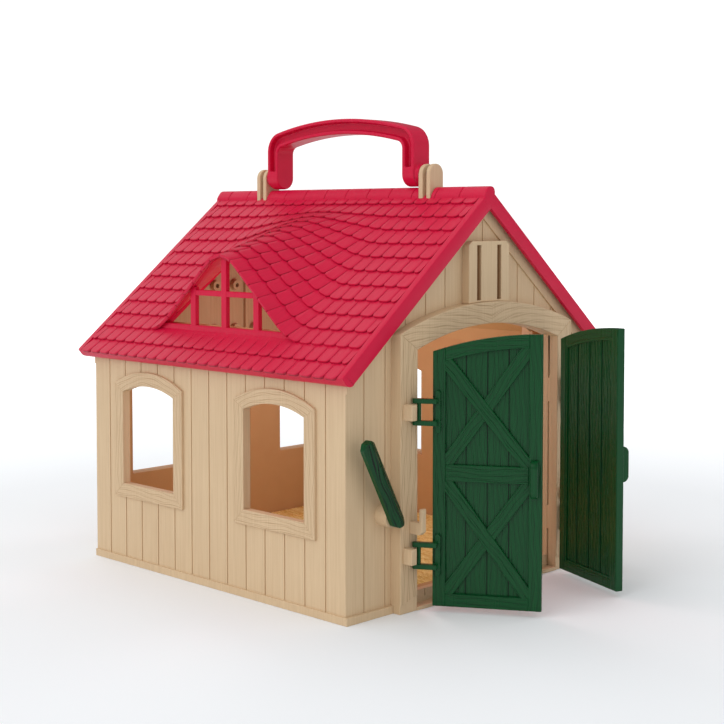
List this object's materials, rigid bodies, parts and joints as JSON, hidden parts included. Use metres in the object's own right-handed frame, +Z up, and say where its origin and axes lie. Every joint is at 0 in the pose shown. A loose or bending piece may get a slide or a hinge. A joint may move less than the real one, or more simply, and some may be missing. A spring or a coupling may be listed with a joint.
{
  "type": "toy barn with opening doors",
  "caption": "Toy stable house with hinged double doors, turning latch bars, a tiled roof with a dormer window and a folding carry handle.",
  "frame": {"origin": "centre of the underside of the floor tray", "axes": "+X to the right of the door gable seen from outside, +Y from the door gable to the rear gable along the ridge, +Z up"},
  "size_m": [0.2508, 0.3141, 0.2865],
  "materials": {
    "beige_plastic": "moulded plank grain, satin",
    "brown_plastic": "moulded plank grain, satin",
    "straw_plastic": "moulded straw relief",
    "red_plastic": "moulded tiles, satin gloss",
    "green_plastic": "moulded wood grain, satin",
    "steel": "zinc plated"
  },
  "bodies": {
    "house": {"floor_tray": "beige_plastic", "left_wall": "beige_plastic", "right_wall": "beige_plastic", "front_wall": "beige_plastic", "rear_wall": "beige_plastic", "door_casing": "beige_plastic", "vent_panel": "beige_plastic", "front_lug_frame": "beige_plastic", "rear_lug_frame": "beige_plastic", "left_liner": "brown_plastic", "right_liner": "brown_plastic", "front_liner": "brown_plastic", "rear_liner": "brown_plastic", "straw_mat": "straw_plastic", "roof_left": "red_plastic", "roof_right": "red_plastic", "dormer_window": "red_plastic", "front_handle_pin": "steel", "rear_handle_pin": "steel", "floor_screws": "steel", "casing_screws": "steel", "frame_screws": "steel", "roof_screws": "steel"},
    "left_door": {"left_door": "green_plastic", "left_pull": "green_plastic", "left_upper_hinge": "green_plastic", "left_lower_hinge": "green_plastic"},
    "right_door": {"right_door": "green_plastic", "right_pull": "green_plastic", "right_upper_hinge": "green_plastic", "right_lower_hinge": "green_plastic"},
    "left_latch": {"left_latch_bar": "green_plastic", "left_latch_screw": "steel"},
    "right_latch": {"right_latch_bar": "green_plastic", "right_latch_screw": "steel"},
    "handle": {"carry_handle": "red_plastic"}
  },
  "joints": [
    {"name": "left_door_hinge", "type": "hinge", "parent": "house", "child": "left_door", "pos_m": [-0.0688, -0.12835, 0.0737], "axis": [0, 0, -1], "range_deg": [-58, 112]},
    {"name": "right_door_hinge", "type": "hinge", "parent": "house", "child": "right_door", "pos_m": [0.0688, -0.12835, 0.0737], "axis": [0, 0, 1], "range_deg": [-69, 101]},
    {"name": "left_latch_turn", "type": "hinge", "parent": "house", "child": "left_latch", "pos_m": [-0.0865, -0.1255, 0.057], "axis": [0, -1, 0], "range_deg": [-28, 152]},
    {"name": "right_latch_turn", "type": "hinge", "parent": "house", "child": "right_latch", "pos_m": [0.0865, -0.1255, 0.057], "axis": [0, 1, 0], "range_deg": [-28, 152]},
    {"name": "handle_fold", "type": "hinge", "parent": "house", "child": "handle", "pos_m": [0, 0, 0.2496], "axis": [0, 1, 0], "range_deg": [-98, 98]}
  ]
}
